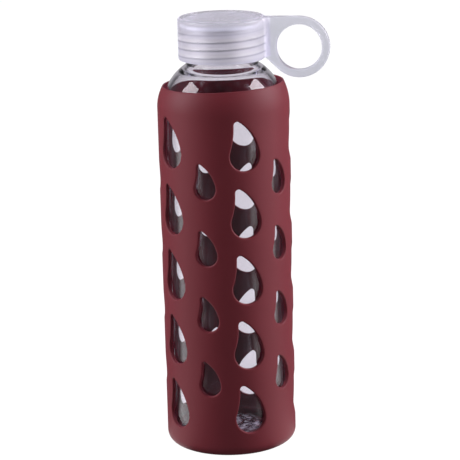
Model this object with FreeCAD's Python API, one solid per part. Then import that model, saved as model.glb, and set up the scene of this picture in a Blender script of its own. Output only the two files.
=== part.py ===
"""Reusable glass water bottle: glass body, drop-windowed silicone sleeve, screw cap with a carrying loop, and seal.

Millimetres. +Z is up and runs along the bottle's axis, z = 0 is the underside that the bottle stands on, and the
cap's carrying loop points along +X when the cap is closed. One STEP file is written for each separate piece.
"""
import FreeCAD, Part
import math
import os

Vector = FreeCAD.Vector
UP = Vector(0, 0, 1)
ORIGIN = Vector(0, 0, 0)

# ---- sleeve: moulded silicone sock ----
SLEEVE_RADIUS = 34.5
SLEEVE_HEIGHT = 195.4
SLEEVE_WALL = 1.9
SLEEVE_FLOOR = 2.2
SLEEVE_FOOT_ROUND = 5.5
LIP_WALL = 0.9
LIP_CURVE_START = 184.0
LIP_CURVE_RADIUS = 40.0

# ---- sleeve windows: two sizes of leaning drop, in alternate columns ----
WINDOW_ROW_PITCH = 35.2
COLUMNS_PER_SIZE = 5
SLEEVE_TURN_DEG = 7.0
LARGE_DROP = {"scale": 1.0, "top": 180.1, "rows": 5, "turn": 0.0}
SMALL_DROP = {"scale": 0.715, "top": 158.0, "rows": 4, "turn": 36.0}

# The leaning drop at full size: x to the right seen from outside, y up from its top edge.
DROP_TIP_TOP = (-4.0, 0.0)
DROP_TIP_LEFT = (-5.9, -2.0)
DROP_LEFT_WAIST = (-6.35, -9.0)
DROP_LEFT_FLANK = (-8.2, -16.4)
DROP_BOTTOM = (-0.3, -26.2)
DROP_RIGHT_FLANK = (7.8, -16.6)
DROP_RIGHT_WAIST = (3.8, -7.0)
DROP_TIP_RIGHT = (-2.7, -0.6)

# ---- glass body ----
FIT_GAP = 0.3
GLASS_RADIUS = SLEEVE_RADIUS - SLEEVE_WALL - FIT_GAP
GLASS_WALL = 2.3
GLASS_BASE = 5.5
GLASS_FOOT_ROUND = 4.5
PUNT_RADIUS = 20.0
PUNT_DEPTH = 1.6
SHOULDER_CORNER = 195.5
SHOULDER_ROUND = 29.0
NECK_START = 204.6
NECK_RADIUS = 18.8
NECK_WALL = 2.4
NECK_ROUND = 1.4
RIM_HEIGHT = 224.0
RIM_ROUND = 1.0

# ---- screw thread: one start, right hand ----
THREAD_PITCH = 4.0
THREAD_DEPTH = 1.2
THREAD_ROOT_WIDTH = 2.0
THREAD_CREST_WIDTH = 0.9
THREAD_SINK = 0.3
NECK_THREAD_START = 210.5
NECK_THREAD_TURNS = 2.25
CAP_THREAD_START = 208.5
CAP_THREAD_TURNS = 3.0

# ---- cap and its loop, one moulding ----
CAP_RADIUS = 22.7
CAP_TOP = 228.9
CAP_BOTTOM = 207.0
CAP_PLATE = 2.5
CAP_BORE = NECK_RADIUS + THREAD_DEPTH + FIT_GAP
CAP_TOP_ROUND = 1.2
CAP_SKIRT_ROUND = 1.5
BEAD_HEIGHT = 223.3
BEAD_STAND = 0.5
LOOP_RADIUS = 15.9
LOOP_HOLE = 11.7
LOOP_CENTRE_X = 40.2
LOOP_THICKNESS = 4.5
LOOP_EDGE_ROUND = 1.0
LOOP_ROOT_FLARE = 4.5
LOOP_CENTRE_Z = CAP_TOP - LOOP_RADIUS

# ---- seal ring under the cap's plate ----
SEAL_GAP = 0.05
SEAL_RADIUS = 19.9
SEAL_BORE = 15.9
SEAL_ROUND = 0.4


def edge_point(start, end, distance):
    """The point that lies distance along the way from start to end."""
    step = end - start
    return start + step * (distance / step.Length)


def rounded_wire(corners):
    """A closed wire in the XZ plane through (x, z, corner radius) corners, each rounded by a tangent arc."""
    points = [Vector(x, 0, z) for x, z, _ in corners]
    ends = []
    for index, (_, _, radius) in enumerate(corners):
        here = points[index]
        before = points[index - 1]
        after = points[(index + 1) % len(points)]
        if radius == 0:
            ends.append((here, None, here))
            continue
        half_angle = (before - here).getAngle(after - here) / 2
        reach = radius / math.tan(half_angle)
        arc_start = edge_point(here, before, reach)
        arc_end = edge_point(here, after, reach)
        centre = edge_point(here, (arc_start + arc_end) * 0.5, radius / math.sin(half_angle))
        middle = edge_point(centre, here, radius)
        ends.append((arc_start, middle, arc_end))
    edges = []
    for index, (arc_start, middle, arc_end) in enumerate(ends):
        if middle is not None:
            edges.append(Part.Arc(arc_start, middle, arc_end).toShape())
        next_start = ends[(index + 1) % len(ends)][0]
        if (next_start - arc_end).Length > 1e-6:
            edges.append(Part.LineSegment(arc_end, next_start).toShape())
    return Part.Wire(edges)


def turned(corners):
    """The solid of revolution of a rounded outline about the Z axis."""
    return Part.Face(rounded_wire(corners)).revolve(ORIGIN, UP, 360)


def thread_ridge(root_radius, direction, start, turns, turn_deg):
    """A right-hand helical ridge that stands out of a wall at root_radius, outwards (+1) or inwards (-1)."""
    buried = root_radius - direction * THREAD_SINK
    crest = root_radius + direction * THREAD_DEPTH
    slope = (THREAD_ROOT_WIDTH - THREAD_CREST_WIDTH) / (2 * THREAD_DEPTH)
    half_root = THREAD_ROOT_WIDTH / 2 + slope * THREAD_SINK
    half_crest = THREAD_CREST_WIDTH / 2
    section = Part.makePolygon([
        Vector(buried, 0, -half_root),
        Vector(crest, 0, -half_crest),
        Vector(crest, 0, half_crest),
        Vector(buried, 0, half_root),
        Vector(buried, 0, -half_root),
    ])
    path = Part.Wire(Part.makeHelix(THREAD_PITCH, turns * THREAD_PITCH, root_radius))
    ridge = path.makePipeShell([section], True, True)
    ridge.rotate(ORIGIN, UP, turn_deg)
    ridge.translate(Vector(0, 0, start))
    return ridge


def glass_bottle():
    """Clear glass: a straight body on a thick base, a round shoulder and a threaded neck."""
    foot = SLEEVE_FLOOR
    inner_radius = GLASS_RADIUS - GLASS_WALL
    neck_bore = NECK_RADIUS - NECK_WALL
    shoulder_angle = math.atan2(NECK_START - SHOULDER_CORNER, GLASS_RADIUS - NECK_RADIUS)
    wall_drop = GLASS_WALL * math.tan(math.pi / 4 - shoulder_angle / 2)
    body = turned([
        (0, foot + PUNT_DEPTH, 0),
        (PUNT_RADIUS - PUNT_DEPTH, foot + PUNT_DEPTH, 0),
        (PUNT_RADIUS, foot, 0),
        (GLASS_RADIUS, foot, GLASS_FOOT_ROUND),
        (GLASS_RADIUS, SHOULDER_CORNER, SHOULDER_ROUND),
        (NECK_RADIUS, NECK_START, NECK_ROUND),
        (NECK_RADIUS, RIM_HEIGHT, RIM_ROUND),
        (neck_bore, RIM_HEIGHT, RIM_ROUND),
        (neck_bore, NECK_START - wall_drop, NECK_ROUND),
        (inner_radius, SHOULDER_CORNER - wall_drop, SHOULDER_ROUND - GLASS_WALL),
        (inner_radius, foot + GLASS_BASE, GLASS_FOOT_ROUND),
        (0, foot + GLASS_BASE, 0),
    ])
    ridge = thread_ridge(NECK_RADIUS, 1, NECK_THREAD_START, NECK_THREAD_TURNS, 0)
    return body.fuse(ridge)


def drop_window(scale):
    """The drop outline's solid, pointing along +X and centred on it, with the drop's top at z = 0."""
    def place(point):
        return Vector(0, point[0] * scale, point[1] * scale)

    arcs = [
        (DROP_TIP_RIGHT, DROP_TIP_TOP, DROP_TIP_LEFT),
        (DROP_TIP_LEFT, DROP_LEFT_WAIST, DROP_LEFT_FLANK),
        (DROP_LEFT_FLANK, DROP_BOTTOM, DROP_RIGHT_FLANK),
        (DROP_RIGHT_FLANK, DROP_RIGHT_WAIST, DROP_TIP_RIGHT),
    ]
    outline = Part.Wire([Part.Arc(*[place(point) for point in arc]).toShape() for arc in arcs])
    cutter = Part.Face(outline).extrude(Vector(SLEEVE_WALL * 4, 0, 0))
    cutter.translate(Vector(SLEEVE_RADIUS - SLEEVE_WALL * 3, 0, 0))
    return cutter


def silicone_sleeve():
    """Soft sock that the glass stands in, pierced by rings of leaning drops and open at the shoulder."""
    bore = SLEEVE_RADIUS - SLEEVE_WALL
    sock = turned([
        (0, 0, 0),
        (SLEEVE_RADIUS, 0, SLEEVE_FOOT_ROUND),
        (SLEEVE_RADIUS, LIP_CURVE_START, LIP_CURVE_RADIUS),
        (bore + LIP_WALL, SLEEVE_HEIGHT, LIP_WALL * 0.4),
        (bore, SLEEVE_HEIGHT, LIP_WALL * 0.4),
        (bore, SLEEVE_FLOOR, SLEEVE_FOOT_ROUND - SLEEVE_WALL),
        (0, SLEEVE_FLOOR, 0),
    ])
    cutters = []
    for drop in (LARGE_DROP, SMALL_DROP):
        for row in range(drop["rows"]):
            for column in range(COLUMNS_PER_SIZE):
                cutter = drop_window(drop["scale"])
                cutter.translate(Vector(0, 0, drop["top"] - row * WINDOW_ROW_PITCH))
                turn = SLEEVE_TURN_DEG + drop["turn"] + column * 360 / COLUMNS_PER_SIZE
                cutter.rotate(ORIGIN, UP, turn)
                cutters.append(cutter)
    return sock.cut(cutters)


def loop_plate():
    """The flat loop: a disc with a finger hole, filled back to the cap along its top and its lower tangent."""
    corner = Vector(CAP_RADIUS - 1, 0, CAP_BOTTOM + CAP_SKIRT_ROUND)
    centre = Vector(LOOP_CENTRE_X, 0, LOOP_CENTRE_Z)
    to_centre = centre - corner
    swing = math.asin(LOOP_RADIUS / to_centre.Length)
    heading = math.atan2(to_centre.z, to_centre.x) - swing
    reach = math.sqrt(to_centre.Length ** 2 - LOOP_RADIUS ** 2)
    touch = corner + Vector(math.cos(heading), 0, math.sin(heading)) * reach
    web = Part.Face(Part.makePolygon([
        Vector(CAP_BORE + 1, 0, CAP_TOP),
        Vector(CAP_BORE + 1, 0, corner.z),
        corner,
        touch,
        centre,
        Vector(LOOP_CENTRE_X, 0, CAP_TOP),
        Vector(CAP_BORE + 1, 0, CAP_TOP),
    ]))
    half = Vector(0, LOOP_THICKNESS / 2, 0)
    across = Vector(0, LOOP_THICKNESS, 0)
    disc = Part.makeCylinder(LOOP_RADIUS, LOOP_THICKNESS, centre - half, Vector(0, 1, 0))
    hole = Part.makeCylinder(LOOP_HOLE, LOOP_THICKNESS, centre - half, Vector(0, 1, 0))
    web.translate(-half)
    plate = disc.fuse(web.extrude(across)).cut(hole).removeSplitter()
    rims = []
    for edge in plate.Edges:
        flat = abs(edge.BoundBox.YLength) < 1e-6
        if flat and edge.BoundBox.XMax > CAP_RADIUS + 0.5:
            rims.append(edge)
    return plate.makeFillet(LOOP_EDGE_ROUND, rims)


def loop_root():
    """The flared root that spreads the loop's plate into the cap's round wall, hollow-cornered on both sides."""
    side = LOOP_THICKNESS / 2
    radius = LOOP_ROOT_FLARE
    centre_y = side + radius
    centre_x = math.sqrt((CAP_RADIUS + radius) ** 2 - centre_y ** 2)
    centre = Vector(centre_x, centre_y, 0)
    on_cap = centre * (CAP_RADIUS / centre.Length)
    on_plate = Vector(centre_x, side, 0)
    middle = edge_point(centre, (on_cap + on_plate) * 0.5, radius)
    inside_x = CAP_BORE + 1

    def mirrored(point):
        return Vector(point.x, -point.y, 0)

    outline = Part.Wire([
        Part.LineSegment(Vector(inside_x, -side, 0), mirrored(on_cap)).toShape(),
        Part.Arc(mirrored(on_cap), mirrored(middle), mirrored(on_plate)).toShape(),
        Part.LineSegment(mirrored(on_plate), on_plate).toShape(),
        Part.Arc(on_plate, middle, on_cap).toShape(),
        Part.LineSegment(on_cap, Vector(inside_x, side, 0)).toShape(),
        Part.LineSegment(Vector(inside_x, side, 0), Vector(inside_x, -side, 0)).toShape(),
    ])
    foot = CAP_BOTTOM + CAP_SKIRT_ROUND
    root = Part.Face(outline).extrude(Vector(0, 0, CAP_TOP - CAP_TOP_ROUND - foot))
    root.translate(Vector(0, 0, foot))
    return root


def screw_cap():
    """Frosted moulding: a plain round skirt and plate, an inner thread, a bead under the seal, and the loop."""
    shell = turned([
        (0, CAP_TOP, 0),
        (CAP_RADIUS, CAP_TOP, CAP_TOP_ROUND),
        (CAP_RADIUS, CAP_BOTTOM, CAP_SKIRT_ROUND),
        (CAP_BORE, CAP_BOTTOM, CAP_SKIRT_ROUND / 3),
        (CAP_BORE, BEAD_HEIGHT - BEAD_STAND, 0),
        (CAP_BORE - BEAD_STAND, BEAD_HEIGHT, BEAD_STAND / 2),
        (CAP_BORE, BEAD_HEIGHT + BEAD_STAND, 0),
        (CAP_BORE, CAP_TOP - CAP_PLATE, 0),
        (0, CAP_TOP - CAP_PLATE, 0),
    ])
    # Half a pitch above or below the neck's ridge, so that the two run in each other's grooves.
    mesh_turn = 360 * (CAP_THREAD_START - NECK_THREAD_START) / THREAD_PITCH + 180
    ridge = thread_ridge(CAP_BORE, -1, CAP_THREAD_START, CAP_THREAD_TURNS, mesh_turn)
    return shell.fuse([ridge, loop_plate(), loop_root()])


def cap_seal_ring():
    """Flat silicone washer between the cap's plate and the glass rim."""
    bottom = RIM_HEIGHT + SEAL_GAP
    top = CAP_TOP - CAP_PLATE - SEAL_GAP
    return turned([
        (SEAL_BORE, bottom, SEAL_ROUND),
        (SEAL_RADIUS, bottom, SEAL_ROUND),
        (SEAL_RADIUS, top, SEAL_ROUND),
        (SEAL_BORE, top, SEAL_ROUND),
    ])


def main():
    os.makedirs("parts", exist_ok=True)
    for make in (glass_bottle, silicone_sleeve, screw_cap, cap_seal_ring):
        shape = make()
        solids = shape.Solids
        piece = solids[0] if len(solids) == 1 else shape
        piece.exportStep(f"parts/{make.__name__}.step")
        box = piece.BoundBox
        print(f"{make.__name__}: {len(solids)} solid, valid {piece.isValid()}, {piece.Volume / 1000:.1f} cm3,",
              f"x {box.XMin:.1f}..{box.XMax:.1f}, y {box.YMin:.1f}..{box.YMax:.1f}, z {box.ZMin:.1f}..{box.ZMax:.1f}")


main()
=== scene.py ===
# %% [markdown]
# # A glass water bottle in a silicone sleeve
# A clear glass bottle stands in a soft burgundy sleeve that is pierced by rings of leaning drops, and a
# frosted screw cap with a flat finger loop closes it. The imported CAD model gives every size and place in
# metres. This file keeps that frame and builds the pieces that are seen: each one replaces the plain CAD
# solid of the same piece.

# %% Load the frame
import bmesh
import bpy
import math
from mathutils import Matrix, Vector


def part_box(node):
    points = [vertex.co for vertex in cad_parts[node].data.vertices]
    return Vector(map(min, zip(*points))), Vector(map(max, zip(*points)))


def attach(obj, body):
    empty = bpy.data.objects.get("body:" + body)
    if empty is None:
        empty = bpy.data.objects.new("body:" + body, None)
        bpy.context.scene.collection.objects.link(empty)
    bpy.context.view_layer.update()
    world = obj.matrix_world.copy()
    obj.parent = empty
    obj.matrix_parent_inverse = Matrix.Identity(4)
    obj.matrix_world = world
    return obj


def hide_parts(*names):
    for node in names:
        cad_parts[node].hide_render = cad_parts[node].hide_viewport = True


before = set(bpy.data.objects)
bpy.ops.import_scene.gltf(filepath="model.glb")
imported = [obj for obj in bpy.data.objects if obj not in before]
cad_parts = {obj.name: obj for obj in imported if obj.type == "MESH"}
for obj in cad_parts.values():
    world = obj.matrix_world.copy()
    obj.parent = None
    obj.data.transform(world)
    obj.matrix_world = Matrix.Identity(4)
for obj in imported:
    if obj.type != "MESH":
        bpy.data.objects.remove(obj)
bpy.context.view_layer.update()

MM = 0.001

# %% [markdown]
# ## Measures
# The frame's boxes give the driving sizes: how wide and tall each piece is, and where it sits on the bottle's
# axis, which is the Z axis. The rest are wall thicknesses and roundings, which a box can't tell.

# %% Sizes from the frame
_, sleeve_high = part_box("silicone_sleeve")
glass_low, glass_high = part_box("glass_bottle")
cap_low, cap_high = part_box("screw_cap")
seal_low, seal_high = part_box("cap_seal_ring")

SLEEVE_R = sleeve_high.y
SLEEVE_TOP = sleeve_high.z
GLASS_R = glass_high.y
GLASS_FOOT = glass_low.z
RIM_Z = glass_high.z
CAP_R = cap_high.y
CAP_TOP = cap_high.z
LOOP_END = cap_high.x
LOOP_LOW = cap_low.z

SLEEVE_WALL = 1.9 * MM
GLASS_WALL = 2.3 * MM
THREAD_PITCH = 4.0 * MM
THREAD_DEPTH = 1.2 * MM
NECK_R = 18.8 * MM
CAP_BORE = NECK_R + THREAD_DEPTH + 0.3 * MM
AROUND = 192
for piece, piece_r in (("sleeve", SLEEVE_R), ("glass", GLASS_R), ("cap", CAP_R)):
    print(f"{piece} radius {piece_r / MM:.1f} mm")

# %% [markdown]
# ## Small helpers for meshes
# Round pieces are turned, like clay on a wheel: an outline of edges in the XZ plane is spun about the Z axis.
# Curved stretches of the outline are arcs, so that the spun surface is smooth and no list of points has to be
# written out.


# %% Outline helpers
def arc(cx, cz, radius, start_deg, end_deg, steps):
    """Points (x, z) along an arc, its first and last point included."""
    points = []
    for i in range(steps + 1):
        turn = math.radians(start_deg + (end_deg - start_deg) * i / steps)
        points.append((cx + radius * math.cos(turn), cz + radius * math.sin(turn)))
    return points


def line(x0, z0, x1, z1, steps):
    """Points (x, z) along a straight run, without its first point."""
    return [(x0 + (x1 - x0) * i / steps, z0 + (z1 - z0) * i / steps) for i in range(1, steps + 1)]


def spin_outline(bm, outline, closed=False):
    """Spin an outline of (x, z) points once about the Z axis and close its seam and its poles."""
    verts = [bm.verts.new((x, 0, z)) for x, z in outline]
    edges = [bm.edges.new(pair) for pair in zip(verts, verts[1:])]
    if closed:
        edges.append(bm.edges.new((verts[-1], verts[0])))
    bmesh.ops.spin(bm, geom=verts + edges, cent=(0, 0, 0), axis=(0, 0, 1), angle=2 * math.pi, steps=AROUND,
                   use_merge=True, use_duplicate=False)
    bmesh.ops.remove_doubles(bm, verts=bm.verts, dist=0.003 * MM)


def smoothstep(value):
    value = min(max(value, 0.0), 1.0)
    return value * value * (3 - 2 * value)


def add_piece(bm, name, material, body, node, sharp_deg=40):
    """Turn a bmesh into a smooth-shaded object that rides on a body, in the place of a CAD node."""
    bmesh.ops.recalc_face_normals(bm, faces=bm.faces)
    mesh = bpy.data.meshes.new(name)
    bm.to_mesh(mesh)
    bm.free()
    mesh.shade_smooth()
    mesh.set_sharp_from_angle(angle=math.radians(sharp_deg))
    mesh.materials.append(material)
    piece = bpy.data.objects.new(name, mesh)
    bpy.context.scene.collection.objects.link(piece)
    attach(piece, body)
    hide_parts(node)
    print(f"{name}: {len(mesh.polygons)} faces")
    return piece


# %% [markdown]
# ## Small helpers for materials
# Colours are given as sRGB hex values, as a colour card gives them, and one function turns them into the
# linear values that the shader wants. One more function adds any node, with its settings and its links.


# %% Material helpers
def linear(hex_colour):
    """An sRGB hex colour such as #7a333b as linear RGBA."""
    channels = [int(hex_colour[i:i + 2], 16) / 255 for i in (1, 3, 5)]
    return [c / 12.92 if c <= 0.04045 else ((c + 0.055) / 1.055) ** 2.4 for c in channels] + [1.0]


def add_node(tree, kind, settings=None, values=None, links=None):
    """Add a node, set its properties and input values, and link its inputs from other nodes' outputs."""
    node = tree.nodes.new(kind)
    for name, value in (settings or {}).items():
        setattr(node, name, value)
    for name, value in (values or {}).items():
        node.inputs[name].default_value = value
    for name, output in (links or {}).items():
        tree.links.new(output, node.inputs[name])
    return node


def maths(tree, operation, first, second=None):
    """One Math node on two inputs, each an output of another node or a number."""
    node = add_node(tree, "ShaderNodeMath", {"operation": operation})
    for socket, value in zip(node.inputs, (first, second)):
        if isinstance(value, (int, float)):
            socket.default_value = value
        elif value is not None:
            tree.links.new(value, socket)
    return node.outputs["Value"]


def map_range(tree, value, from_min, from_max, to_min, to_max):
    """Turn one range of values into another, with soft ends."""
    ranges = {"From Min": from_min, "From Max": from_max, "To Min": to_min, "To Max": to_max}
    soft = {"interpolation_type": "SMOOTHSTEP"}
    return add_node(tree, "ShaderNodeMapRange", soft, ranges, {"Value": value}).outputs["Result"]


def from_axis(tree, split):
    """The distance from the Z axis of the place that a Separate XYZ node takes apart."""
    squares = [maths(tree, "MULTIPLY", split.outputs[axis], split.outputs[axis]) for axis in "XY"]
    return maths(tree, "SQRT", maths(tree, "ADD", *squares))


def new_material(name, slot):
    """An empty material and its node tree. The name says what it is, and the slot names it for the record."""
    material = bpy.data.materials.new(name)
    material.use_nodes = True
    material.node_tree.nodes.clear()
    material["slot"] = slot
    print("material:", name)
    return material, material.node_tree


def clear_to_lamps(tree, shader, lamp_colour):
    """Let rays towards a lamp pass straight through the surface, tinted, and finish the material."""
    through = add_node(tree, "ShaderNodeBsdfTransparent", values={"Color": linear(lamp_colour)})
    rays = add_node(tree, "ShaderNodeLightPath")
    mix = add_node(tree, "ShaderNodeMixShader", links={"Fac": rays.outputs["Is Shadow Ray"]})
    tree.links.new(shader.outputs["BSDF"], mix.inputs[1])
    tree.links.new(through.outputs["BSDF"], mix.inputs[2])
    add_node(tree, "ShaderNodeOutputMaterial", links={"Surface": mix.outputs["Shader"]})


# %% [markdown]
# ## Silicone
# The sleeve is liquid silicone rubber, pigmented burgundy and moulded in a fine-blasted tool. The tool leaves
# a satin skin: a broad soft sheen and no mirror. Its grain is about a tenth of a millimetre, too fine for the
# picture, so it is drawn at 0.35 mm. A slow tint variation stands for flow in the mould and for handling.


# %% Burgundy silicone
def silicone_material():
    material, tree = new_material("burgundy_silicone_satin_moulded", "burgundy_silicone")
    place = add_node(tree, "ShaderNodeTexCoord")
    slow = add_node(tree, "ShaderNodeTexNoise", values={"Scale": 1 / (22 * MM), "Detail": 2.0},
                    links={"Vector": place.outputs["Object"]})
    tint = add_node(tree, "ShaderNodeMix", {"data_type": "RGBA"},
                    {"A": linear("#661e27"), "B": linear("#6e232c")}, {"Factor": slow.outputs["Fac"]})
    grain = add_node(tree, "ShaderNodeTexNoise", values={"Scale": 1 / (0.35 * MM), "Detail": 3.0},
                     links={"Vector": place.outputs["Object"]})
    satin = add_node(tree, "ShaderNodeMapRange", values={"To Min": 0.52, "To Max": 0.60},
                     links={"Value": grain.outputs["Fac"]})
    bump = add_node(tree, "ShaderNodeBump", values={"Strength": 0.12, "Distance": 0.03 * MM},
                    links={"Height": grain.outputs["Fac"]})
    shader = add_node(tree, "ShaderNodeBsdfPrincipled",
                      values={"IOR": 1.36, "Sheen Weight": 0.02, "Sheen Roughness": 0.45,
                              "Subsurface Weight": 0.15, "Subsurface Radius": (1.2 * MM, 0.35 * MM, 0.3 * MM),
                              "Subsurface Scale": 1.0},
                      links={"Base Color": tint.outputs["Result"], "Roughness": satin.outputs["Result"],
                             "Normal": bump.outputs["Normal"]})
    add_node(tree, "ShaderNodeOutputMaterial", links={"Surface": shader.outputs["BSDF"]})
    return material


BURGUNDY_SILICONE = silicone_material()

# %% [markdown]
# ## Glass
# The body is soda-lime glass, drawn as tube and flame worked, so it is clear, smooth and slightly wavy. In
# the middle of the base, where the soft tube was gathered and closed, it is wrinkled. Both could be modelled
# in the mesh, but a bump in the material bends light in the same way and costs nothing: slow waves drawn out
# up the bottle, and a ripple that is kept to the base's middle. Where the ripple is high, the glass is made
# partly milky white in streaks: a painted highlight that stands in for the light the thick base gathers from
# the windows. Lamps must reach what stands behind the glass. A real wall lets nearly all light through, but
# a path tracer would need far more samples to find those ways, so rays towards a lamp pass straight through.


# %% Clear glass
# Each pair gives where the wrinkles start to fade and where they end, upwards and outwards from the axis.
WAVE_LENGTH = 9 * MM
WAVE_DRAWN_OUT = 0.12
WRINKLE_LENGTH = 4.0 * MM
WRINKLE_TOP = (8.5 * MM, 10.0 * MM)
WRINKLE_REACH = (12.0 * MM, 17.0 * MM)


def glass_material():
    material, tree = new_material("clear_flame_worked_glass", "clear_glass")
    place = add_node(tree, "ShaderNodeTexCoord")
    stretch = add_node(tree, "ShaderNodeMapping", values={"Scale": (1.0, 1.0, WAVE_DRAWN_OUT)},
                       links={"Vector": place.outputs["Object"]})
    waves = add_node(tree, "ShaderNodeTexNoise", values={"Scale": 1 / WAVE_LENGTH, "Detail": 1.0},
                     links={"Vector": stretch.outputs["Vector"]})
    bump = add_node(tree, "ShaderNodeBump", values={"Strength": 0.35, "Distance": 0.08 * MM},
                    links={"Height": waves.outputs["Fac"]})
    split = add_node(tree, "ShaderNodeSeparateXYZ", links={"Vector": place.outputs["Object"]})
    low = map_range(tree, split.outputs["Z"], *WRINKLE_TOP, 1.0, 0.0)
    inward = map_range(tree, from_axis(tree, split), *WRINKLE_REACH, 1.0, 0.0)
    base = maths(tree, "MULTIPLY", low, inward)
    ripple = add_node(tree, "ShaderNodeTexNoise", values={"Scale": 1 / WRINKLE_LENGTH, "Detail": 1.0},
                      links={"Vector": place.outputs["Object"]})
    wrinkles = add_node(tree, "ShaderNodeBump", values={"Distance": 6.0 * MM},
                        links={"Height": ripple.outputs["Fac"], "Strength": base,
                               "Normal": bump.outputs["Normal"]})
    # Painted highlight: white streaks where the ripple is high, for the light that the thick base gathers.
    painted_base_highlight = map_range(tree, ripple.outputs["Fac"], 0.46, 0.60, 0.0, 0.75)
    clear = maths(tree, "SUBTRACT", 1.0, maths(tree, "MULTIPLY", painted_base_highlight, base))
    shader = add_node(tree, "ShaderNodeBsdfPrincipled",
                      values={"Base Color": linear("#e9e6ec"), "Roughness": 0.0, "IOR": 1.5},
                      links={"Transmission Weight": clear, "Normal": wrinkles.outputs["Normal"]})
    clear_to_lamps(tree, shader, "#eeeef4")
    return material


CLEAR_GLASS = glass_material()

# %% [markdown]
# ## Frosted polypropylene
# The cap is unpigmented polypropylene, moulded in one piece with its loop. It is milky, because its crystals
# scatter light. Its outer skin is lightly frosted and its bore is smooth. Most of the light passes through as
# through ground glass and a sixth scatters in the wall. The thread inside shows through the skirt as soft
# lines of light and shade. A cloudy volume would give those, but slowly and with much noise, so they are
# painted into the colour as shade and highlight: the helix that places the thread says how far through one
# pitch each place is, and a ramp gives that place its painted shade, a dark line at the lower edge of each
# ridge and a light band over the ridge. In the thick loop more light is lost, so the plastic is greyer there.


# %% Frosted polypropylene
CAP_THREAD_START = 208.5 * MM
CAP_THREAD_TURNS = 3.0
THREAD_ROOT_HALF = 1.0 * MM
# The painted shade fades in and out between the heights of each pair.
# The ramp gives a painted shade or painted highlight for each part of a pitch.
PAINTED_SHADE_START = (208.4 * MM, 209.6 * MM)
PAINTED_SHADE_END = (219.5 * MM, 225.0 * MM)
SKIRT_TO_LOOP = (CAP_R + 0.3 * MM, CAP_R + 1.2 * MM)
BORE_TO_SKIN = (CAP_BORE + 0.8 * MM, CAP_BORE + 1.2 * MM)
THREAD_PAINTED_SHADES = [(0.0, "#b4b5bc"), (0.08, "#d8d9df"), (0.2, "#ffffff"), (0.36, "#fefefe"), (0.55, "#f6f6f9"),
                 (0.82, "#f4f4f8"), (0.92, "#d8d9df"), (1.0, "#b4b5bc")]


def painted_thread_shades(tree, split):
    """The painted shade and highlight of each place by how far it is through one pitch of the thread."""
    turns = maths(tree, "DIVIDE", maths(tree, "ARCTAN2", split.outputs["Y"], split.outputs["X"]), 2 * math.pi)
    height = maths(tree, "SUBTRACT", split.outputs["Z"], CAP_THREAD_START - THREAD_ROOT_HALF)
    through = maths(tree, "SUBTRACT", maths(tree, "DIVIDE", height, THREAD_PITCH), turns)
    painted_shades = add_node(tree, "ShaderNodeValToRGB", links={"Fac": maths(tree, "FRACT", through)})
    while len(painted_shades.color_ramp.elements) < len(THREAD_PAINTED_SHADES):
        painted_shades.color_ramp.elements.new(0.5)
    for element, (position, colour) in zip(painted_shades.color_ramp.elements, THREAD_PAINTED_SHADES):
        element.position = position
        element.color = linear(colour)
    return painted_shades.outputs["Color"]


def polypropylene_material():
    material, tree = new_material("frosted_polypropylene_moulded", "frosted_polypropylene")
    place = add_node(tree, "ShaderNodeTexCoord")
    split = add_node(tree, "ShaderNodeSeparateXYZ", links={"Vector": place.outputs["Object"]})
    radius = from_axis(tree, split)
    low = map_range(tree, split.outputs["Z"], *PAINTED_SHADE_START, 0.0, 1.0)
    high = map_range(tree, split.outputs["Z"], *PAINTED_SHADE_END, 1.0, 0.0)
    on_skirt = map_range(tree, radius, *SKIRT_TO_LOOP, 1.0, 0.0)
    painted_shade_share = maths(tree, "MULTIPLY", maths(tree, "MULTIPLY", low, high), on_skirt)
    cloud = add_node(tree, "ShaderNodeTexNoise", values={"Scale": 1 / (6 * MM), "Detail": 2.0},
                     links={"Vector": place.outputs["Object"]})
    milk = add_node(tree, "ShaderNodeMix", {"data_type": "RGBA"},
                    {"A": linear("#e2e3ea"), "B": linear("#e8e9ef")}, {"Factor": cloud.outputs["Fac"]})
    wall = add_node(tree, "ShaderNodeMix", {"data_type": "RGBA"}, {"A": linear("#d3d4dc")},
                    {"Factor": on_skirt, "B": milk.outputs["Result"]})
    # The skirt's colour takes the painted thread shade and highlight, faded in by height and kept off the
    # loop.
    tint = add_node(tree, "ShaderNodeMix", {"data_type": "RGBA"},
                    links={"Factor": painted_shade_share, "A": wall.outputs["Result"], "B": painted_thread_shades(tree, split)})
    skin = map_range(tree, radius, *BORE_TO_SKIN, 0.06, 0.40)
    shader = add_node(tree, "ShaderNodeBsdfPrincipled", values={"IOR": 1.49, "Transmission Weight": 0.84},
                      links={"Base Color": tint.outputs["Result"], "Roughness": skin})
    clear_to_lamps(tree, shader, "#e9eaee")
    return material


FROSTED_PP = polypropylene_material()

# %% [markdown]
# ## Clear silicone
# The washer under the cap's plate is unpigmented silicone: cloudy white and soft, with a dull skin.


# %% Clear silicone
def washer_material():
    material, tree = new_material("clear_silicone_moulded", "clear_silicone")
    place = add_node(tree, "ShaderNodeTexCoord")
    cloud = add_node(tree, "ShaderNodeTexNoise", values={"Scale": 1 / (3 * MM), "Detail": 2.0},
                     links={"Vector": place.outputs["Object"]})
    tint = add_node(tree, "ShaderNodeMix", {"data_type": "RGBA"},
                    {"A": linear("#dddde4"), "B": linear("#ececf0")}, {"Factor": cloud.outputs["Fac"]})
    shader = add_node(tree, "ShaderNodeBsdfPrincipled",
                      values={"Roughness": 0.5, "IOR": 1.41, "Transmission Weight": 0.3},
                      links={"Base Color": tint.outputs["Result"]})
    add_node(tree, "ShaderNodeOutputMaterial", links={"Surface": shader.outputs["BSDF"]})
    return material


CLEAR_SILICONE = washer_material()

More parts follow.
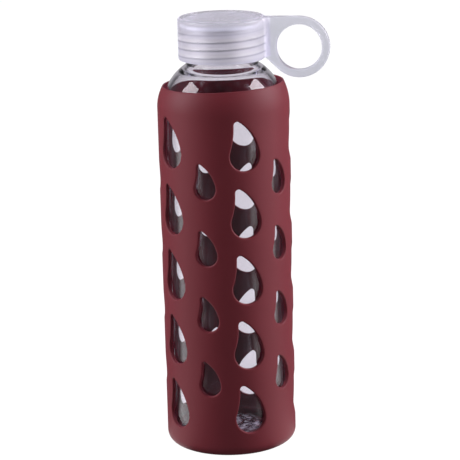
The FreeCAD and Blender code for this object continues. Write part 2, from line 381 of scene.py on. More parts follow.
# %% [markdown]
# ## The glass bottle
# One outline runs up the outside, over the rim and down the inside, and a spin makes a closed wall of glass,
# which refracts light as real glass does. Inside the shoulder the wall swells into one low fold, as hot tube
# does where it is pushed in to form a neck, and the fold bends what is seen through it. The screw thread
# isn't a separate ring: the neck's rows of points are close together, and each point moves outwards where the
# ridge passes, so glass and thread are one skin.


# %% Thread formula
THREAD_CREST_HALF = 0.35 * MM
THREAD_RUN_OUT = math.radians(50)


def ridge_height(x, y, z, start_z, turns, start_turn):
    """How far a right-hand ridge stands out of its wall at this point, from 0 to 1, with tapered ends."""
    height = 0.0
    base = (math.atan2(y, x) - start_turn) % (2 * math.pi)
    for lap in range(math.ceil(turns) + 1):
        along = base + 2 * math.pi * lap
        if along > 2 * math.pi * turns:
            break
        away = abs(z - start_z - THREAD_PITCH * along / (2 * math.pi))
        flank = (THREAD_ROOT_HALF - away) / (THREAD_ROOT_HALF - THREAD_CREST_HALF)
        ends = min(along, 2 * math.pi * turns - along) / THREAD_RUN_OUT
        height = max(height, smoothstep(flank) * smoothstep(ends))
    return height


def press_thread(bm, wall_radius, direction, start_z, turns, start_turn):
    """Move the rows of points on a round wall out (+1) or in (-1) along a helix."""
    for vert in bm.verts:
        radius = math.hypot(vert.co.x, vert.co.y)
        if abs(radius - wall_radius) > 0.02 * MM:
            continue
        height = ridge_height(vert.co.x, vert.co.y, vert.co.z, start_z, turns, start_turn)
        if height > 0:
            scale = 1 + direction * THREAD_DEPTH * height / radius
            vert.co.x *= scale
            vert.co.y *= scale


# %% Glass bottle
SHOULDER_ROUND = 29.0 * MM
SHOULDER_START = 180.1 * MM
SHOULDER_END_DEG = 57.7
NECK_FOOT = 205.4 * MM
FOOT_ROUND = 4.5 * MM
BASE_THICK = 5.5 * MM
PUNT_R = 20.0 * MM
PUNT_DEEP = 1.6 * MM
RIM_ROUND = 1.0 * MM
NECK_WALL = 2.4 * MM
FOLD_THICK = 0.6 * MM
FOLD_TURN = math.radians(53)
FOLD_WIDTH = math.radians(5.0)
NECK_THREAD_START = 210.5 * MM
NECK_THREAD_TURNS = 2.25


def glass_outline():
    inner_r = GLASS_R - GLASS_WALL
    neck_bore = NECK_R - NECK_WALL
    shoulder_x = GLASS_R - SHOULDER_ROUND
    inner_foot = GLASS_FOOT + BASE_THICK
    rim = RIM_Z - RIM_ROUND
    # The base rises to a punt that is nearly flat in its middle and falls steeply to its rim.
    points = [(0, GLASS_FOOT + PUNT_DEEP)]
    points += [(PUNT_R * i / 10, GLASS_FOOT + PUNT_DEEP * (1 - (i / 10) ** 4)) for i in range(1, 11)]
    points += arc(GLASS_R - FOOT_ROUND, GLASS_FOOT + FOOT_ROUND, FOOT_ROUND, -90, 0, 10)
    points += line(GLASS_R, GLASS_FOOT + FOOT_ROUND, GLASS_R, SHOULDER_START, 40)
    points += arc(shoulder_x, SHOULDER_START, SHOULDER_ROUND, 0, SHOULDER_END_DEG, 30)[1:]
    points += [(NECK_R, NECK_FOOT)]
    points += line(NECK_R, NECK_FOOT, NECK_R, rim, 84)
    points += arc(NECK_R - RIM_ROUND, rim, RIM_ROUND, 0, 90, 6)[1:]
    points += arc(neck_bore + RIM_ROUND, rim, RIM_ROUND, 90, 180, 6)
    points += line(neck_bore, rim, neck_bore, NECK_FOOT, 12)
    # Down the inside of the shoulder the wall swells into the fold.
    end = math.degrees(math.acos((neck_bore - shoulder_x) / (SHOULDER_ROUND - GLASS_WALL)))
    for i in range(61):
        turn = math.radians(end * (1 - i / 60))
        fold = FOLD_THICK * math.exp(-((turn - FOLD_TURN) / FOLD_WIDTH) ** 2)
        radius = SHOULDER_ROUND - GLASS_WALL - fold
        points.append((shoulder_x + radius * math.cos(turn), SHOULDER_START + radius * math.sin(turn)))
    points += line(inner_r, SHOULDER_START, inner_r, inner_foot + FOOT_ROUND, 40)
    points += arc(inner_r - FOOT_ROUND, inner_foot + FOOT_ROUND, FOOT_ROUND, 0, -90, 10)[1:]
    points += line(inner_r - FOOT_ROUND, inner_foot, 0, inner_foot, 8)
    return points


def make_glass_bottle():
    bm = bmesh.new()
    spin_outline(bm, glass_outline())
    press_thread(bm, NECK_R, 1, NECK_THREAD_START, NECK_THREAD_TURNS, 0.0)
    return add_piece(bm, "glass_body", CLEAR_GLASS, "bottle", "glass_bottle")


make_glass_bottle()

# %% [markdown]
# ## The sleeve's windows
# The windows are leaning drops in two sizes. Each is drawn once by four arcs through given points. The
# helpers below give points spaced evenly along it, and the same drop grown outwards by a margin.


# %% The drop
DROP_ARCS = [
    ((-2.7, -0.6), (-4.0, 0.0), (-5.9, -2.0)),
    ((-5.9, -2.0), (-6.35, -9.0), (-8.2, -16.4)),
    ((-8.2, -16.4), (-0.3, -26.2), (7.8, -16.6)),
    ((7.8, -16.6), (3.8, -7.0), (-2.7, -0.6)),
]
ARC_STEPS = 120
WINDOW_PITCH = 35.2 * MM
COLUMNS = 5
SLEEVE_TURN = math.radians(7.0)
DROPS = [
    {"scale": 1.0, "top": 180.1 * MM, "rows": 5, "turn": 0.0},
    {"scale": 0.715, "top": 158.0 * MM, "rows": 4, "turn": math.radians(36.0)},
]


def arc_through(start, middle, end):
    """Points along the circle arc through three points, without the last one."""
    ax, ay = middle[0] - start[0], middle[1] - start[1]
    bx, by = end[0] - start[0], end[1] - start[1]
    cross = 2 * (ax * by - ay * bx)
    a2, b2 = ax * ax + ay * ay, bx * bx + by * by
    ux, uy = (by * a2 - ay * b2) / cross, (ax * b2 - bx * a2) / cross
    radius = math.hypot(ux, uy)
    first = math.atan2(-uy, -ux)
    last = math.atan2(by - uy, bx - ux)
    if cross > 0 and last < first:
        last += 2 * math.pi
    if cross < 0 and last > first:
        last -= 2 * math.pi
    turns = [first + (last - first) * i / ARC_STEPS for i in range(ARC_STEPS)]
    return [(start[0] + ux + radius * math.cos(t), start[1] + uy + radius * math.sin(t)) for t in turns]


def drop_outline(scale, count):
    """count points spaced evenly along a drop, counter-clockwise, each with its outward normal, in metres."""
    fine = []
    for start, middle, end in DROP_ARCS:
        fine += arc_through(start, middle, end)
    fine = [Vector((x * scale * MM, y * scale * MM)) for x, y in fine]
    lengths = [0.0]
    for here, after in zip(fine, fine[1:] + fine[:1]):
        lengths.append(lengths[-1] + (after - here).length)
    spaced, index = [], 0
    for i in range(count):
        target = lengths[-1] * i / count
        while lengths[index + 1] < target:
            index += 1
        share = (target - lengths[index]) / (lengths[index + 1] - lengths[index])
        spaced.append(fine[index].lerp(fine[(index + 1) % len(fine)], share))
    outline = []
    for i, point in enumerate(spaced):
        along = spaced[(i + 1) % count] - spaced[i - 1]
        outline.append((point, Vector((along.y, -along.x)).normalized()))
    return outline


for drop in DROPS:
    across = [point.x for point, _ in drop_outline(drop["scale"], 200)]
    print(f"drop of scale {drop['scale']}: {(max(across) - min(across)) / MM:.1f} mm wide")

# %% [markdown]
# ## The pierced sheet
# The straight stretch of the sleeve begins as a flat grid, as if the wall were slit open and laid out: x is
# the way round it, y is up and z is the depth into the wall. For each window the faces inside the drop are
# deleted, and the torn edge is pulled onto an even ring just outside the drop. Smoothing spreads the squeezed
# squares around it. The ring is then extruded over a quarter round, which is the soft edge of a moulded
# window, and down through the wall.

# %% Flat sheet with a ring around each window
WINDOW_EDGE = 0.6 * MM
SHEET_LOW = 5.5 * MM
SHEET_HIGH = 182.6 * MM
SHEET_COLUMNS = 180
SHEET_ROWS = 148
ROUND_LENGTH = 2 * math.pi * SLEEVE_R
SHEET_START = (SLEEVE_TURN - 2 * math.pi / 20) * SLEEVE_R
SETTLING = 12


def windows():
    """Each window's drop and the sheet position (round, up) of the drop's origin."""
    for drop in DROPS:
        for row in range(drop["rows"]):
            for column in range(COLUMNS):
                turn = SLEEVE_TURN + drop["turn"] + 2 * math.pi * column / COLUMNS
                yield drop, Vector((turn * SLEEVE_R, drop["top"] - row * WINDOW_PITCH))


def is_inside(point, outline):
    """True if a point is inside a closed outline, by counting how often a ray crosses it."""
    crossings = 0
    for a, b in zip(outline, outline[1:] + outline[:1]):
        if (a.y > point.y) != (b.y > point.y) and point.x < a.x + (point.y - a.y) * (b.x - a.x) / (b.y - a.y):
            crossings += 1
    return crossings % 2 == 1


def walk_loop(edges):
    """The vertices of a closed loop of edges, in order."""
    neighbours = {}
    for edge in edges:
        for vert in edge.verts:
            neighbours.setdefault(vert, []).append(edge.other_vert(vert))
    first = edges[0].verts[0]
    loop = [first, neighbours[first][0]]
    while True:
        one, other = neighbours[loop[-1]]
        ahead = other if one is loop[-2] else one
        if ahead is first:
            return loop
        loop.append(ahead)


def pull_onto_ring(loop, drop, origin):
    """Move a loop's vertices onto the nearest spots of the even ring around a drop, and return its outline."""
    count = len(loop)
    outline = [(origin + point, normal) for point, normal in drop_outline(drop["scale"], count)]
    ring = [point + normal * WINDOW_EDGE for point, normal in outline]
    spots = [vert.co.xy for vert in loop]
    turned = sum(spots[i - 1].x * spots[i].y - spots[i].x * spots[i - 1].y for i in range(count))
    if turned < 0:
        loop.reverse()
        spots.reverse()

    def far_off(shift):
        return sum((ring[(i + shift) % count] - spots[i]).length_squared for i in range(count))

    shift = min(range(count), key=far_off)
    for i, vert in enumerate(loop):
        vert.co.xy = ring[(i + shift) % count]
    return [outline[(i + shift) % count] for i in range(count)]


def flat_sheet():
    """The laid-out wall as a bmesh, and for each window its ring of vertices and the drop's outline."""
    bm = bmesh.new()
    bmesh.ops.create_grid(bm, x_segments=SHEET_COLUMNS, y_segments=SHEET_ROWS, size=0.5)
    for vert in bm.verts:
        vert.co.x = SHEET_START + (vert.co.x + 0.5) * ROUND_LENGTH
        vert.co.y = SHEET_LOW + (vert.co.y + 0.5) * (SHEET_HIGH - SHEET_LOW)
    border = {vert for vert in bm.verts if vert.is_boundary}
    holes = []
    for drop, origin in windows():
        ring = [origin + point + normal * WINDOW_EDGE for point, normal in drop_outline(drop["scale"], 90)]
        low = Vector((min(p.x for p in ring), min(p.y for p in ring)))
        high = Vector((max(p.x for p in ring), max(p.y for p in ring)))
        doomed = []
        for face in bm.faces:
            middle = face.calc_center_median()
            if low.x < middle.x < high.x and low.y < middle.y < high.y and is_inside(middle, ring):
                doomed.append(face)
        rim = {edge for face in doomed for edge in face.edges}
        bmesh.ops.delete(bm, geom=doomed, context="FACES")
        loop = walk_loop([edge for edge in rim if edge.is_valid and edge.is_boundary])
        holes.append((loop, pull_onto_ring(loop, drop, origin)))
    held = border | {vert for loop, _ in holes for vert in loop}
    near = set()
    for loop, _ in holes:
        ring_of_faces = {face for vert in loop for face in vert.link_faces}
        for _ in range(3):
            corners = {vert for face in ring_of_faces for vert in face.verts}
            ring_of_faces |= {face for vert in corners for face in vert.link_faces}
        near |= {vert for face in ring_of_faces for vert in face.verts}
    for _ in range(SETTLING):
        bmesh.ops.smooth_vert(bm, verts=list(near - held), factor=0.5, use_axis_x=True, use_axis_y=True)
    return bm, holes


def extrude_ring(bm, loop, spots):
    """Extrude a closed loop of vertices onto new spots and return the new loop."""
    edges = [edge for i, vert in enumerate(loop) for edge in vert.link_edges
             if edge.other_vert(vert) is loop[i - 1] and edge.is_boundary]
    made = bmesh.ops.extrude_edge_only(bm, edges=edges)["geom"]
    new = {item for item in made if isinstance(item, bmesh.types.BMVert)}
    next_loop = []
    for vert, spot in zip(loop, spots):
        moved = next(e.other_vert(vert) for e in vert.link_edges if e.other_vert(vert) in new)
        moved.co = spot
        next_loop.append(moved)
    return next_loop


sheet, holes = flat_sheet()
print(f"sheet: {len(sheet.faces)} faces, {len(holes)} windows")

# %% [markdown]
# ## The sleeve
# The sheet's outer face gets its soft window edges, and a copy becomes the inner face. Both are then rolled
# into a tube. The foot and the lip are extruded from the tube's two end loops, ring by ring: the foot goes
# round a soft corner to the middle of the base, and the lip turns in over the glass's shoulder, thins out and
# goes back down inside. The silicone is stretched over the glass there, so the lip follows the shoulder.

# %% Window edges and the inner face
EDGE_STEPS = 5


def add_window_edges(bm, holes):
    """Extrude each ring over a quarter round and down to the depth of the wall."""
    for loop, outline in holes:
        for i in range(1, EDGE_STEPS + 1):
            turn = math.pi / 2 * i / EDGE_STEPS
            out = WINDOW_EDGE * (1 - math.sin(turn))
            deep = WINDOW_EDGE * (1 - math.cos(turn))
            loop = extrude_ring(bm, loop, [(*(point + normal * out), deep) for point, normal in outline])
        extrude_ring(bm, loop, [(*point, SLEEVE_WALL) for point, _ in outline])


def add_inner_face(bm, holes):
    """Lower the whole sheet to the inner side of the wall and fill it in to the drops."""
    for vert in bm.verts:
        vert.co.z = SLEEVE_WALL
    for loop, outline in holes:
        extrude_ring(bm, loop, [(*point, SLEEVE_WALL) for point, _ in outline])
    bmesh.ops.reverse_faces(bm, faces=bm.faces)


# %% Roll, foot and lip
LIP_WALL = 0.9 * MM
LIP_R = 31.75 * MM
FOOT_R = 5.5 * MM
SLEEVE_FLOOR = 2.2 * MM
FOOT_STEPS = 8
LIP_STEPS = 14
POLE_R = 2.0 * MM
LIP_LEAN = 1.0 * MM
LIP_LEAN_TURN = math.radians(-20)


def roll(bm):
    """Roll the laid-out sheet into a tube about the Z axis."""
    for vert in bm.verts:
        turn = vert.co.x / SLEEVE_R
        radius = SLEEVE_R - vert.co.z
        vert.co = (radius * math.cos(turn), radius * math.sin(turn), vert.co.y)


def end_loop(bm, height, radius):
    """The tube's border vertices at one end and one radius, in order round the axis."""
    level = [vert for vert in bm.verts if abs(vert.co.z - height) < 0.01 * MM]
    found = [vert for vert in level if abs(vert.co.xy.length - radius) < 0.01 * MM]
    return sorted(found, key=lambda vert: math.atan2(vert.co.y, vert.co.x))


def extrude_profile(bm, loop, profile):
    """Carry an end loop along (radius, height) pairs."""
    for radius, height in profile:
        spots = [(radius * v.co.x / v.co.xy.length, radius * v.co.y / v.co.xy.length, height) for v in loop]
        loop = extrude_ring(bm, loop, spots)
    return loop


def close_pole(bm, loop, height):
    """Close the last small ring onto the axis."""
    last = extrude_ring(bm, loop, [(0, 0, height)] * len(loop))
    bmesh.ops.pointmerge(bm, verts=last, merge_co=(0, 0, height))


def lip_profile():
    """Up the outside, over the thin rounded rim and down the inside."""
    top = SLEEVE_TOP - LIP_WALL / 2
    outer, inner = [], []
    for i in range(1, LIP_STEPS + 1):
        up = i / LIP_STEPS
        height = SHEET_HIGH + (top - SHEET_HIGH) * up
        fall = (SLEEVE_R - LIP_R) * up ** 2
        wall = SLEEVE_WALL + (LIP_WALL - SLEEVE_WALL) * smoothstep(up * 1.1)
        outer.append((SLEEVE_R - fall, height))
        inner.append((SLEEVE_R - fall - wall, height))
    rim = arc(LIP_R - LIP_WALL / 2, top, LIP_WALL / 2, 0, 180, 8)[1:-1]
    return outer + rim + inner[::-1]


def lean_lip(bm):
    """Let the lip sit a little lower on the side away from the loop, as a stretched lip does."""
    for vert in bm.verts:
        if vert.co.z > SHEET_HIGH:
            turn = math.atan2(vert.co.y, vert.co.x)
            up = (vert.co.z - SHEET_HIGH) / (SLEEVE_TOP - SHEET_HIGH)
            vert.co.z -= LIP_LEAN * (1 - math.cos(turn - LIP_LEAN_TURN)) * up


def make_sleeve():
    inner = sheet.copy()
    mate = {vert.index: vert for vert in inner.verts}
    inner_holes = [([mate[vert.index] for vert in loop], outline) for loop, outline in holes]
    add_inner_face(inner, inner_holes)
    add_window_edges(sheet, holes)
    roll(sheet)
    roll(inner)
    inner_mesh = bpy.data.meshes.new("inner_face")
    inner.to_mesh(inner_mesh)
    sheet.from_mesh(inner_mesh)
    bpy.data.meshes.remove(inner_mesh)
    bmesh.ops.remove_doubles(sheet, verts=sheet.verts, dist=0.005 * MM)
    bore = SLEEVE_R - SLEEVE_WALL
    extrude_profile(sheet, end_loop(sheet, SHEET_HIGH, SLEEVE_R), lip_profile() + [(bore, SHEET_HIGH)])
    outer_foot = arc(SLEEVE_R - FOOT_R, FOOT_R, FOOT_R, 0, -90, FOOT_STEPS)[1:]
    outer_foot += line(SLEEVE_R - FOOT_R, 0, POLE_R, 0, 8)
    close_pole(sheet, extrude_profile(sheet, end_loop(sheet, SHEET_LOW, SLEEVE_R), outer_foot), 0)
    corner = FOOT_R - SLEEVE_WALL
    inner_foot = arc(bore - corner, SLEEVE_FLOOR + corner, corner, 0, -90, FOOT_STEPS)
    inner_foot += line(bore - corner, SLEEVE_FLOOR, POLE_R, SLEEVE_FLOOR, 8)
    close_pole(sheet, extrude_profile(sheet, end_loop(sheet, SHEET_LOW, bore), inner_foot), SLEEVE_FLOOR)
    bmesh.ops.remove_doubles(sheet, verts=sheet.verts, dist=0.005 * MM)
    lean_lip(sheet)
    print("open edges in the sleeve:", sum(1 for edge in sheet.edges if not edge.is_manifold))
    return add_piece(sheet, "pierced_sleeve", BURGUNDY_SILICONE, "sleeve", "silicone_sleeve")


make_sleeve()

# %% [markdown]
# ## The cap's shell
# The shell is turned like the glass, and its thread is pressed inwards in the same way, half a pitch away
# from the neck's, so that each ridge lies in the other's groove. A small bead under the washer keeps it in
# the cap.

# %% Cap shell
CAP_BOTTOM = 207.0 * MM
CAP_PLATE = 2.5 * MM
CAP_TOP_ROUND = 1.2 * MM
SKIRT_ROUND = 1.5 * MM
BEAD_Z = 223.3 * MM
BEAD_STAND = 0.5 * MM


def cap_outline():
    skirt = CAP_BOTTOM + SKIRT_ROUND
    plate = CAP_TOP - CAP_PLATE
    inner_round = SKIRT_ROUND / 3
    points = [(0, CAP_TOP)] + line(0, CAP_TOP, CAP_R - CAP_TOP_ROUND, CAP_TOP, 10)[:-1]
    points += arc(CAP_R - CAP_TOP_ROUND, CAP_TOP - CAP_TOP_ROUND, CAP_TOP_ROUND, 90, 0, 8)
    points += line(CAP_R, CAP_TOP - CAP_TOP_ROUND, CAP_R, skirt, 16)
    points += arc(CAP_R - SKIRT_ROUND, skirt, SKIRT_ROUND, 0, -90, 8)[1:]
    points += arc(CAP_BORE + inner_round, CAP_BOTTOM + inner_round, inner_round, -90, -180, 4)
    points += line(CAP_BORE, CAP_BOTTOM + inner_round, CAP_BORE, BEAD_Z - BEAD_STAND, 84)
    points += arc(CAP_BORE, BEAD_Z, BEAD_STAND, 270, 90, 6)[1:]
    points += line(CAP_BORE, BEAD_Z + BEAD_STAND, CAP_BORE, plate - inner_round, 3)
    points += arc(CAP_BORE - inner_round, plate - inner_round, inner_round, 0, 90, 4)[1:]
    points += line(CAP_BORE - inner_round, plate, 0, plate, 10)
    return points


def cap_shell():
    bm = bmesh.new()
    spin_outline(bm, cap_outline())
    mesh_turn = 2 * math.pi * (CAP_THREAD_START - NECK_THREAD_START) / THREAD_PITCH + math.pi
    press_thread(bm, CAP_BORE, -1, CAP_THREAD_START, CAP_THREAD_TURNS, mesh_turn)
    bmesh.ops.recalc_face_normals(bm, faces=bm.faces)
    return bm


# %% [markdown]
# ## The loop
# The loop is a flat plate: a ring whose outline leaves the circle along two tangents, one level with the
# cap's top and one down to the skirt's lower corner. Two rings of points, the outline and the finger hole,
# are bridged, the band is extruded to the plate's thickness, and a bevel rounds its edges as the mould does.
# A flared root with hollow corners spreads the plate into the cap. A boolean union then makes shell, plate
# and root one moulding, as clear plastic shows every surface that is left inside it.

# %% Loop plate and root
LOOP_R = (CAP_TOP - LOOP_LOW) / 2
LOOP_HOLE = 11.7 * MM
LOOP_THICK = 4.5 * MM
LOOP_X = LOOP_END - LOOP_R
LOOP_Z = CAP_TOP - LOOP_R
LOOP_EDGE = 1.0 * MM
LOOP_POINTS = 128
ROOT_FLARE = 4.5 * MM
ROOT_BELOW_TOP = 0.4 * MM
PLATE_CORNER_R = CAP_R - 1.0 * MM
INSIDE_WALL = (CAP_BORE + CAP_R) / 2


def plate_reach(turn):
    """How far the plate's outline is from the loop's centre in this direction."""
    way = Vector((math.cos(turn), math.sin(turn)))
    corner = Vector((PLATE_CORNER_R - LOOP_X, CAP_BOTTOM + SKIRT_ROUND - LOOP_Z))
    swing = math.acos(LOOP_R / corner.length)
    touch_turn = math.atan2(corner.y, corner.x) % (2 * math.pi) + swing
    touch = Vector((math.cos(touch_turn), math.sin(touch_turn)))
    reach = LOOP_R
    if way.x < 0:
        limits = [(INSIDE_WALL - LOOP_X) / way.x]
        if way.y > 0:
            limits.append(LOOP_R / way.y)
        if way.dot(touch) > 0 and turn % (2 * math.pi) < touch_turn:
            limits.append(LOOP_R / way.dot(touch))
        if turn % (2 * math.pi) < touch_turn:
            reach = max(LOOP_R, min(limits))
    return reach


def ring_of_verts(bm, reach):
    """A closed ring of vertices and edges in the plate's plane."""
    verts = []
    for i in range(LOOP_POINTS):
        turn = 2 * math.pi * i / LOOP_POINTS
        far = reach(turn)
        x, z = LOOP_X + far * math.cos(turn), LOOP_Z + far * math.sin(turn)
        verts.append(bm.verts.new((x, -LOOP_THICK / 2, z)))
    return [bm.edges.new((verts[i - 1], verts[i])) for i in range(LOOP_POINTS)]


def loop_plate():
    bm = bmesh.new()
    outline = ring_of_verts(bm, plate_reach)
    hole = ring_of_verts(bm, lambda turn: LOOP_HOLE)
    bmesh.ops.bridge_loops(bm, edges=outline + hole)
    made = bmesh.ops.extrude_face_region(bm, geom=bm.faces[:])["geom"]
    moved = [item for item in made if isinstance(item, bmesh.types.BMVert)]
    bmesh.ops.translate(bm, verts=moved, vec=(0, LOOP_THICK, 0))
    bmesh.ops.recalc_face_normals(bm, faces=bm.faces)
    corners = [edge for edge in bm.edges if edge.is_manifold and edge.calc_face_angle() > math.radians(60)]
    round_edges = [edge for edge in corners if max(v.co.x for v in edge.verts) > CAP_R + 0.3 * MM
                   and abs(edge.verts[0].co.y - edge.verts[1].co.y) < 0.01 * MM]
    bmesh.ops.bevel(bm, geom=round_edges, offset=LOOP_EDGE, segments=4, profile=0.5, affect="EDGES",
                    material=-1, clamp_overlap=True)
    return bm


def loop_root():
    """The root's plan outline has a hollow arc on each side; it is extruded up the skirt."""
    bm = bmesh.new()
    side = LOOP_THICK / 2
    centre_y = side + ROOT_FLARE
    centre_x = math.sqrt((CAP_R + ROOT_FLARE) ** 2 - centre_y ** 2)
    first = math.degrees(math.atan2(centre_y, centre_x)) + 180
    half = arc(centre_x, centre_y, ROOT_FLARE, first, 270, 10)
    half = [(INSIDE_WALL, half[0][1])] + half
    plan = half + [(x, -y) for x, y in half[::-1]]
    low = CAP_BOTTOM + SKIRT_ROUND
    face = bm.faces.new([bm.verts.new((x, y, low)) for x, y in plan])
    made = bmesh.ops.extrude_face_region(bm, geom=[face])["geom"]
    moved = [item for item in made if isinstance(item, bmesh.types.BMVert)]
    bmesh.ops.translate(bm, verts=moved, vec=(0, 0, CAP_TOP - ROOT_BELOW_TOP - low))
    bmesh.ops.recalc_face_normals(bm, faces=bm.faces)
    return bm


def joined(parts):
    """The boolean union of several closed bmeshes, as one bmesh."""
    objects = []
    for number, bm in enumerate(parts):
        mesh = bpy.data.meshes.new(f"moulding_{number}")
        bm.to_mesh(mesh)
        bm.free()
        objects.append(bpy.data.objects.new(f"moulding_{number}", mesh))
        bpy.context.scene.collection.objects.link(objects[-1])
    for other in objects[1:]:
        union = objects[0].modifiers.new(other.name, "BOOLEAN")
        union.operation = "UNION"
        union.solver = "EXACT"
        union.object = other
    bpy.context.view_layer.update()
    result = bmesh.new()
    result.from_object(objects[0], bpy.context.evaluated_depsgraph_get())
    for obj in objects:
        bpy.data.objects.remove(obj)
    return result


def make_cap():
    bm = joined([cap_shell(), loop_plate(), loop_root()])
    bmesh.ops.remove_doubles(bm, verts=bm.verts, dist=0.01 * MM)
    print("open edges in the cap:", sum(1 for edge in bm.edges if not edge.is_manifold))
    return add_piece(bm, "loop_cap", FROSTED_PP, "cap", "screw_cap", sharp_deg=30)


make_cap()

# %% [markdown]
# ## The washer
# A flat ring with rounded edges, spun from a closed outline.


# %% Washer
SEAL_ROUND = 0.4 * MM
SEAL_BORE = 15.9 * MM


def make_washer():
    outer, inner = seal_high.x, SEAL_BORE
    low, high = seal_low.z, seal_high.z
    outline = arc(outer - SEAL_ROUND, low + SEAL_ROUND, SEAL_ROUND, -90, 0, 4)
    outline += arc(outer - SEAL_ROUND, high - SEAL_ROUND, SEAL_ROUND, 0, 90, 4)
    outline += arc(inner + SEAL_ROUND, high - SEAL_ROUND, SEAL_ROUND, 90, 180, 4)
    outline += arc(inner + SEAL_ROUND, low + SEAL_ROUND, SEAL_ROUND, 180, 270, 4)
    bm = bmesh.new()
    spin_outline(bm, outline, closed=True)
    return add_piece(bm, "seal_washer", CLEAR_SILICONE, "seal", "cap_seal_ring")


make_washer()

# %% [markdown]
# ## What each ray sees
# On a pure white ground, the lamps and sheets that light a bottle stand outside the picture, so the picture's
# white isn't what the glass should mirror. Light Path tells the rays apart. A ray straight from the camera,
# or one that only passed clear walls, sees plain white. A ray that lights a matt surface sees a dim room. A
# ray that a shiny or clear surface sent on sees a dimmer room with a lit sheet behind the bottle, which
# whitens the edges of the glass's shoulder, and a glow at either side, which draws the streaks on the glass.
# The stage faces one fixed way, so all of this stays where it is when the camera moves.


# %% Stage helpers
STAGE_TURN = math.radians(7.0)
MIRRORED_SHARE = 0.25
SHEET_GLOW = 0.45
SIDE_GLOW = 1.5


def seen_straight(tree):
    """1 for rays straight from the camera or only through clear walls, and 0 after any reflection."""
    rays = add_node(tree, "ShaderNodeLightPath")
    direct = maths(tree, "LESS_THAN", rays.outputs["Glossy Depth"], 0.5)
    through = maths(tree, "MULTIPLY", rays.outputs["Is Transmission Ray"], direct)
    return maths(tree, "MAXIMUM", rays.outputs["Is Camera Ray"], through)


def soft_share(tree):
    """1 for rays that light a matt surface and less for those that only mirror the room."""
    rays = add_node(tree, "ShaderNodeLightPath")
    share = add_node(tree, "ShaderNodeMapRange", values={"To Min": MIRRORED_SHARE, "To Max": 1.0},
                     links={"Value": rays.outputs["Is Diffuse Ray"]})
    return share.outputs["Result"]


def mirrored(tree):
    """1 for rays that a mirroring or clear surface sent on, and 0 for those that light a matt surface."""
    rays = add_node(tree, "ShaderNodeLightPath")
    return maths(tree, "SUBTRACT", 1.0, rays.outputs["Is Diffuse Ray"])


def way_round(tree, vector):
    """The angle of a place or direction from straight behind the bottle, the same to either side."""
    turned = add_node(tree, "ShaderNodeVectorRotate", {"rotation_type": "Z_AXIS"}, {"Angle": -STAGE_TURN},
                      {"Vector": vector})
    split = add_node(tree, "ShaderNodeSeparateXYZ", links={"Vector": turned.outputs["Vector"]})
    return maths(tree, "ARCTAN2", maths(tree, "ABSOLUTE", split.outputs["X"]), split.outputs["Y"])


def back_sheet(tree, turn):
    """The lit sheet straight behind the bottle."""
    return map_range(tree, turn, math.radians(15), math.radians(32), SHEET_GLOW, 0.0)


def side_glow(tree, turn):
    """The bright patches that the two softboxes leave on the table beside the bottle."""
    rising = map_range(tree, turn, math.radians(76), math.radians(84), 0.0, SIDE_GLOW)
    falling = map_range(tree, turn, math.radians(122), math.radians(142), 1.0, 0.0)
    return maths(tree, "MULTIPLY", rising, falling)


# %% [markdown]
# ## Floor
# A sheet of opal white acrylic, lit from below as a light table is, so that it is even, white and without a
# shadow. Lamps alone would have to be far stronger to whiten a plain sheet, and would drown the bottle. Its
# own grey is what the lamps light, and its glow is what each ray sees, as above.


# %% Light table
TABLE_HALF = 12.0
TABLE_DIM = 0.22


def make_floor():
    bm = bmesh.new()
    bmesh.ops.create_grid(bm, x_segments=8, y_segments=8, size=TABLE_HALF)
    mesh = bpy.data.meshes.new("light_table")
    bm.to_mesh(mesh)
    bm.free()
    material, tree = new_material("white_acrylic_opal", "floor")
    place = add_node(tree, "ShaderNodeTexCoord")
    turn = way_round(tree, place.outputs["Object"])
    lit = maths(tree, "ADD", back_sheet(tree, turn), side_glow(tree, turn))
    bright = maths(tree, "MULTIPLY", lit, mirrored(tree))
    dim = maths(tree, "MAXIMUM", maths(tree, "MULTIPLY", soft_share(tree), TABLE_DIM), bright)
    glow = add_node(tree, "ShaderNodeMapRange", values={"To Max": 1.0},
                    links={"Value": seen_straight(tree), "To Min": dim})
    shader = add_node(tree, "ShaderNodeBsdfPrincipled",
                      values={"Base Color": linear("#4c4c4e"), "Roughness": 0.9, "Specular IOR Level": 0.0,
                              "Emission Color": linear("#ffffff")},
                      links={"Emission Strength": glow.outputs["Result"]})
    add_node(tree, "ShaderNodeOutputMaterial", links={"Surface": shader.outputs["BSDF"]})
    mesh.materials.append(material)
    floor = bpy.data.objects.new("light_table", mesh)
    bpy.context.scene.collection.objects.link(floor)
    print(f"light table: {2 * TABLE_HALF:.0f} m wide")


make_floor()

# %% [markdown]
# ## Camera
# The bottle is looked at from a little above, 1.1 m away, through a long lens, so that it hardly tapers. The
# camera leans by one and a half degrees, as one held in a hand does. It stands 7 degrees round from the
# bottle's front, so that the loop points a little towards it. Three turns in a row give its pose: the way it
# faces, its pitch and its lean.

# %% Camera
CAMERA_LENS = 168.8
CAMERA_AWAY = 1.104
CAMERA_UP = 0.3998
CAMERA_PITCH = math.radians(14.46)
CAMERA_AIM = math.radians(-0.09)
CAMERA_LEAN = math.radians(-1.49)


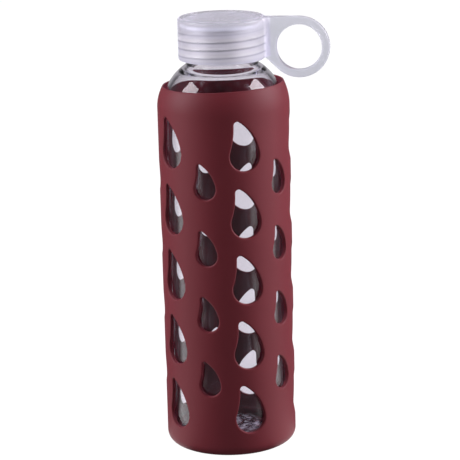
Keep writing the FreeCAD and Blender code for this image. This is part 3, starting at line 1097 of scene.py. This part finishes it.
def make_camera():
    camera = bpy.data.cameras.new("camera")
    camera.lens = CAMERA_LENS
    camera.sensor_width = 36.0
    camera.clip_start = 0.05
    view = bpy.data.objects.new("camera", camera)
    bpy.context.scene.collection.objects.link(view)
    spot = Vector((CAMERA_AWAY * math.sin(STAGE_TURN), -CAMERA_AWAY * math.cos(STAGE_TURN), CAMERA_UP))
    heading = Matrix.Rotation(STAGE_TURN + CAMERA_AIM, 4, "Z")
    pitch = Matrix.Rotation(math.pi / 2 - CAMERA_PITCH, 4, "X")
    lean = Matrix.Rotation(CAMERA_LEAN, 4, "Z")
    view.matrix_world = Matrix.Translation(spot) @ heading @ pitch @ lean
    bpy.context.scene.camera = view
    print(f"camera: {CAMERA_LENS} mm lens, {CAMERA_AWAY:.2f} m away and {CAMERA_UP:.2f} m up")


make_camera()

# %% [markdown]
# ## Light
# Two tall softboxes, one at each side, light the bottle's flanks and leave its front darker, which shows how
# round the satin sleeve is. A narrow strip at the front right softens that side, and a weak box overhead
# lights the cap's top. The room is brighter behind the bottle than in front of it, and the lit sheet goes on
# above the table's edge. What is seen straight, or through clear glass, is plain white.


# %% Softboxes and surroundings
LAMP_AIM = 0.12
ROOM_FRONT = 0.16
ROOM_BACK = 0.50


def add_softbox(name, turn_deg, away, height, width, tall, watts):
    """A softbox turn_deg to the right of the stage's front, aimed at the bottle's middle."""
    lamp = bpy.data.lights.new(name, "AREA")
    lamp.shape = "RECTANGLE"
    lamp.size = width
    lamp.size_y = tall
    lamp.energy = watts
    lamp.color = linear("#fff7ff")[:3]
    box = bpy.data.objects.new(name, lamp)
    bpy.context.scene.collection.objects.link(box)
    turn = math.radians(turn_deg - 90) + STAGE_TURN
    spot = Vector((away * math.cos(turn), away * math.sin(turn), height))
    aim = Vector((0, 0, LAMP_AIM)) - spot
    box.matrix_world = Matrix.Translation(spot) @ aim.to_track_quat("-Z", "Y").to_matrix().to_4x4()
    box.visible_camera = False
    box.visible_transmission = False
    print(f"{name}: {watts} W")


def make_surroundings():
    """A room that is brightest behind the bottle, and plain white where it is seen straight."""
    world = bpy.data.worlds.new("studio")
    world.use_nodes = True
    tree = world.node_tree
    tree.nodes.clear()
    place = add_node(tree, "ShaderNodeTexCoord")
    behind = add_node(tree, "ShaderNodeVectorMath", {"operation": "DOT_PRODUCT"},
                      links={"Vector": place.outputs["Generated"]})
    behind.inputs[1].default_value = (-math.sin(STAGE_TURN), math.cos(STAGE_TURN), 0.0)
    level = add_node(tree, "ShaderNodeMapRange",
                     values={"From Min": -0.5, "From Max": 0.9, "To Min": ROOM_FRONT, "To Max": ROOM_BACK},
                     links={"Value": behind.outputs["Value"]})
    turn = way_round(tree, place.outputs["Generated"])
    bright = maths(tree, "MULTIPLY", back_sheet(tree, turn), mirrored(tree))
    soft = maths(tree, "MULTIPLY", level.outputs["Result"], soft_share(tree))
    dim = add_node(tree, "ShaderNodeBackground", values={"Color": linear("#fbf7ff")},
                   links={"Strength": maths(tree, "MAXIMUM", soft, bright)})
    white = add_node(tree, "ShaderNodeBackground", values={"Color": linear("#ffffff"), "Strength": 1.0})
    mix = add_node(tree, "ShaderNodeMixShader", links={"Fac": seen_straight(tree)})
    tree.links.new(dim.outputs["Background"], mix.inputs[1])
    tree.links.new(white.outputs["Background"], mix.inputs[2])
    add_node(tree, "ShaderNodeOutputWorld", links={"Surface": mix.outputs["Shader"]})
    bpy.context.scene.world = world


add_softbox("left_softbox", -83, away=0.9, height=0.60, width=0.5, tall=0.8, watts=11.8)
add_softbox("right_softbox", 89, away=0.9, height=0.60, width=0.5, tall=0.8, watts=14.4)
add_softbox("right_strip", 50, away=0.9, height=0.40, width=0.09, tall=0.8, watts=1.0)
add_softbox("top_softbox", 180, away=0.02, height=1.0, width=0.5, tall=0.5, watts=0.3)
make_surroundings()
bpy.context.scene.view_settings.view_transform = "Standard"
